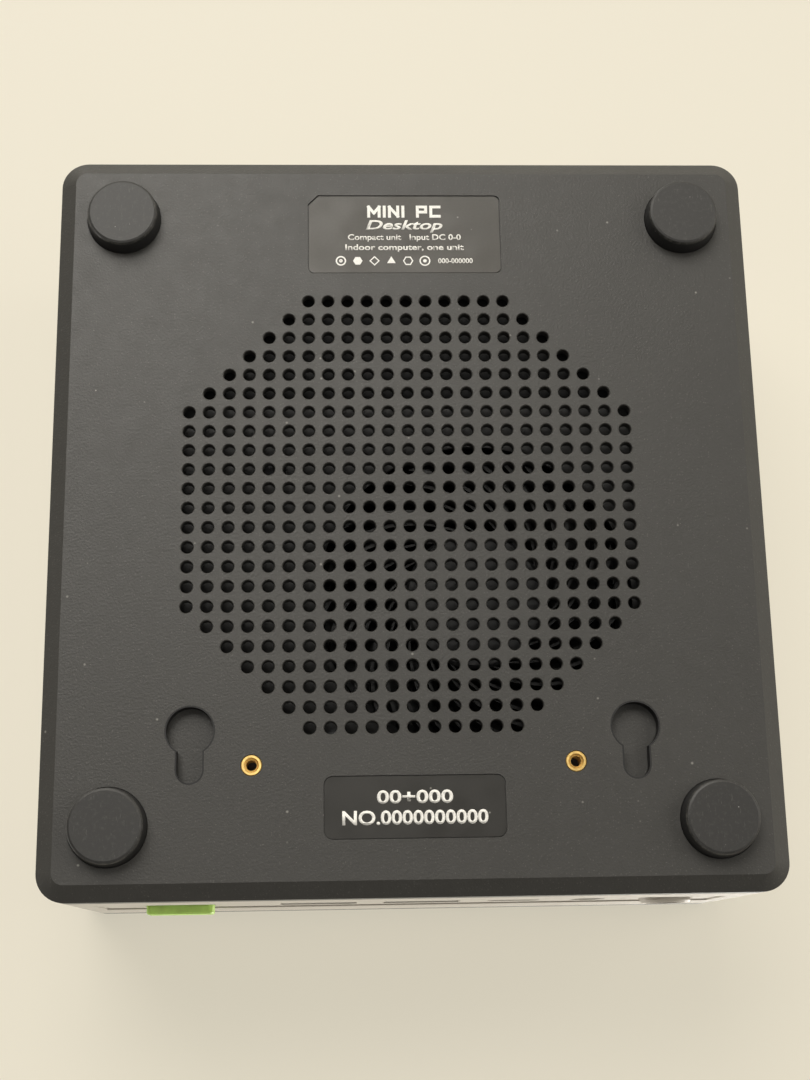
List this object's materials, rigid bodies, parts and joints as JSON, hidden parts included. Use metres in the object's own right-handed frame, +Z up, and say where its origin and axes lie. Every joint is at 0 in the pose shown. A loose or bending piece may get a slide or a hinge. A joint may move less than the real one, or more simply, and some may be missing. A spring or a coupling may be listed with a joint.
{
  "type": "mini pc",
  "caption": "Small square desktop computer case with a vented chamfered underside, round rubber feet, keyhole hangers, front and rear ports, and a lift-off lid.",
  "frame": {"origin": "under the middle of the body, on the surface that the four rubber feet stand on", "axes": "+Z up through the lid, -Y out of the front with the power button, +X to the right when facing the front"},
  "size_m": [0.125, 0.1343, 0.058],
  "materials": {
    "cover_plastic": "fine moulded texture, matte",
    "foot_rubber": "matte, dusty",
    "insert_brass": "bright turned",
    "rating_film": "satin printed film",
    "serial_film": "satin printed film",
    "screw_steel": "black zinc",
    "case_silver": "satin silver paint",
    "rim_silver": "satin silver paint",
    "panel_dark": "fine texture",
    "lid_dark": "fine moulded texture",
    "plate_steel": "zinc coated",
    "blower_plate": "black coating",
    "fan_plastic": "moulded",
    "rotor_plastic": "satin moulded",
    "bearing_bronze": "sintered bronze",
    "coil_copper": "enamelled copper",
    "lead_black": "smooth jacket",
    "fin_aluminium": "stamped",
    "pipe_copper": "dull copper",
    "board_mask": "solder mask",
    "part_dark": "moulded",
    "antenna_film": "film",
    "port_steel": "nickel plated",
    "jack_black": "moulded",
    "button_silver": "satin silver paint",
    "plug_green": "soft, matte"
  },
  "bodies": {
    "chassis": {"antenna_leads": "lead_black", "antennas": "antenna_film", "audio_jack": "jack_black", "blower_bearing": "bearing_bronze", "blower_coil": "coil_copper", "blower_cover": "blower_plate", "blower_housing": "fan_plastic", "blower_lead": "lead_black", "blower_screws": "screw_steel", "board_parts": "part_dark", "board_screws": "screw_steel", "bottom_cover": "cover_plastic", "case_screws": "screw_steel", "clock_battery": "part_dark", "cooler_fins": "fin_aluminium", "cooler_plate": "pipe_copper", "dc_jack": "jack_black", "drive_spreader": "fin_aluminium", "expansion_port": "port_steel", "foot_front_left": "foot_rubber", "foot_front_right": "foot_rubber", "foot_rear_left": "foot_rubber", "foot_rear_right": "foot_rubber", "front_panel": "case_silver", "front_usb_c_port": "port_steel", "front_usb_port_a": "port_steel", "front_usb_port_b": "port_steel", "heat_pipes": "pipe_copper", "lan_port_a": "port_steel", "lan_port_b": "port_steel", "main_board": "board_mask", "memory_module_lower": "board_mask", "memory_module_upper": "board_mask", "memory_sockets": "part_dark", "mid_shell": "case_silver", "mount_inserts": "insert_brass", "power_switch": "part_dark", "processor": "board_mask", "rating_label": "rating_film", "rear_panel": "panel_dark", "rear_usb_c_port": "port_steel", "rear_usb_ports": "port_steel", "serial_label": "serial_film", "service_fan_bearing": "bearing_bronze", "service_fan_coil": "coil_copper", "service_fan_frame": "fan_plastic", "service_fan_lead": "lead_black", "service_plate": "plate_steel", "service_screws": "screw_steel", "ssd_module": "board_mask", "ssd_socket": "part_dark", "top_shell": "rim_silver", "video_port_a": "port_steel", "video_port_b": "port_steel", "wireless_card": "board_mask"},
    "blower_impeller": {"blower_rotor": "rotor_plastic"},
    "service_impeller": {"service_fan_rotor": "rotor_plastic"},
    "button": {"power_button": "button_silver"},
    "dust_plug": {"expansion_plug": "plug_green"},
    "lid": {"top_lid": "lid_dark"}
  },
  "joints": [
    {"name": "blower_spin", "type": "hinge", "parent": "chassis", "child": "blower_impeller", "pos_m": [-0.0114, -0.0154, 0.012], "axis": [0, 0, 1], "continuous": true},
    {"name": "service_fan_spin", "type": "hinge", "parent": "chassis", "child": "service_impeller", "pos_m": [0, -0.006, 0.048], "axis": [0, 0, 1], "continuous": true},
    {"name": "power_press", "type": "slide", "parent": "chassis", "child": "button", "axis": [0, 1, 0], "range_m": [0, 0.0006], "stiffness_N_per_m": 400, "springref_m": -0.0015},
    {"name": "plug_pull", "type": "slide", "parent": "chassis", "child": "dust_plug", "axis": [0, -1, 0], "range_m": [0, 0.012]},
    {"name": "lid_lift", "type": "slide", "parent": "chassis", "child": "lid", "axis": [0, 0, 1], "range_m": [0, 0.03]}
  ]
}
